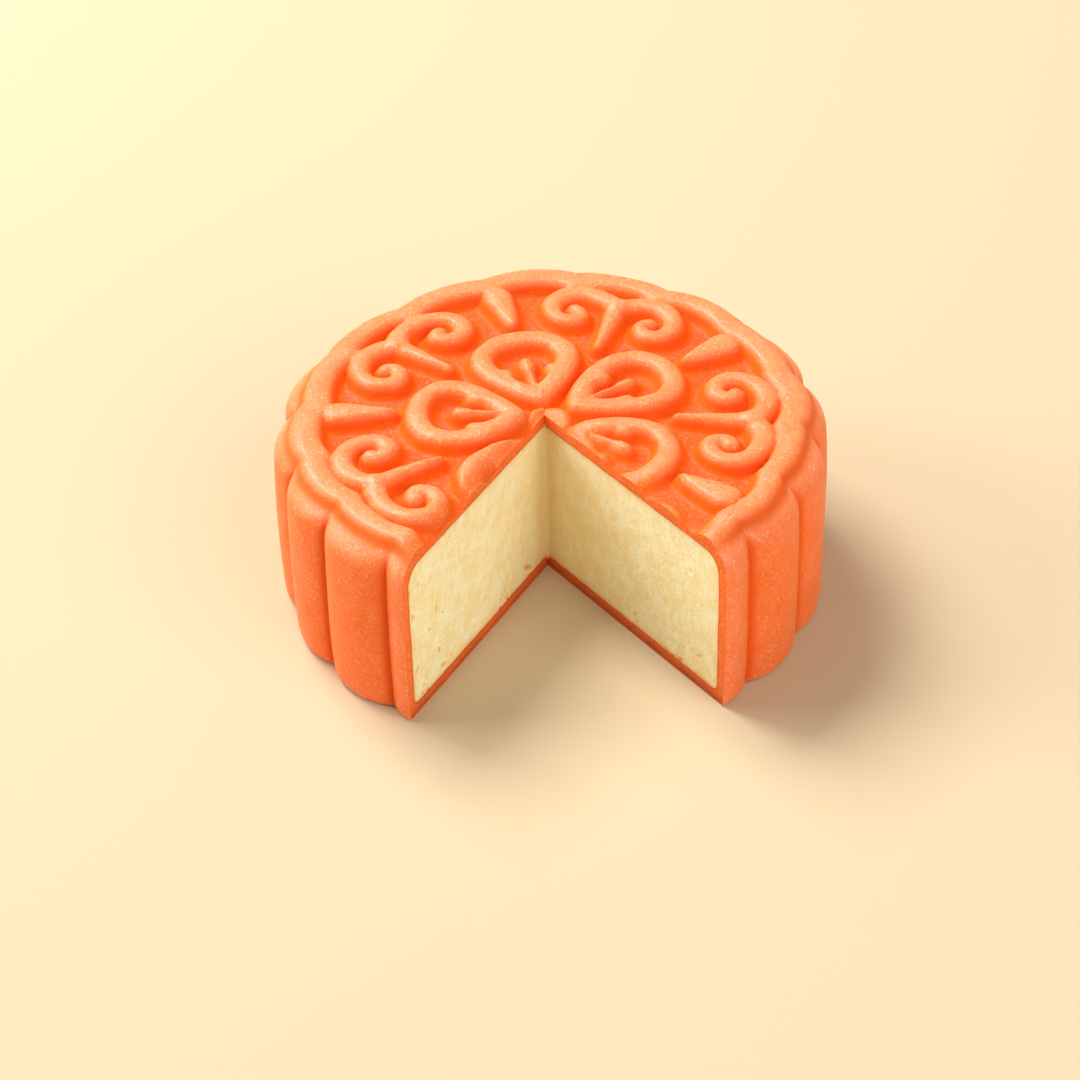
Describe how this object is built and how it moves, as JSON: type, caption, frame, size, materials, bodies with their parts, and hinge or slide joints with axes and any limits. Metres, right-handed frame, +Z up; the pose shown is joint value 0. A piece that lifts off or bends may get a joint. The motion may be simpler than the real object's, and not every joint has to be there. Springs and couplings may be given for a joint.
{
  "type": "mooncake",
  "caption": "Round snow skin mooncake with a fluted wall and a pressed blossom top, one slice cut out to show its pale filling.",
  "frame": {"origin": "middle of the bounding box, on the base", "axes": "+Z up through the cake; the missing slice opens towards -Y; +X to the right when facing the cut"},
  "size_m": [0.065, 0.0594, 0.0241],
  "materials": {
    "orange_dough": "soft satin rice dough, orange, paler on raised edges and deeper in folds, with fine pale grains",
    "pale_filling": "matt fine crumb, pale yellow with soft upright streaks and small ochre pits"
  },
  "bodies": {
    "root": {"skin": "orange_dough", "filling": "pale_filling"}
  },
  "joints": []
}
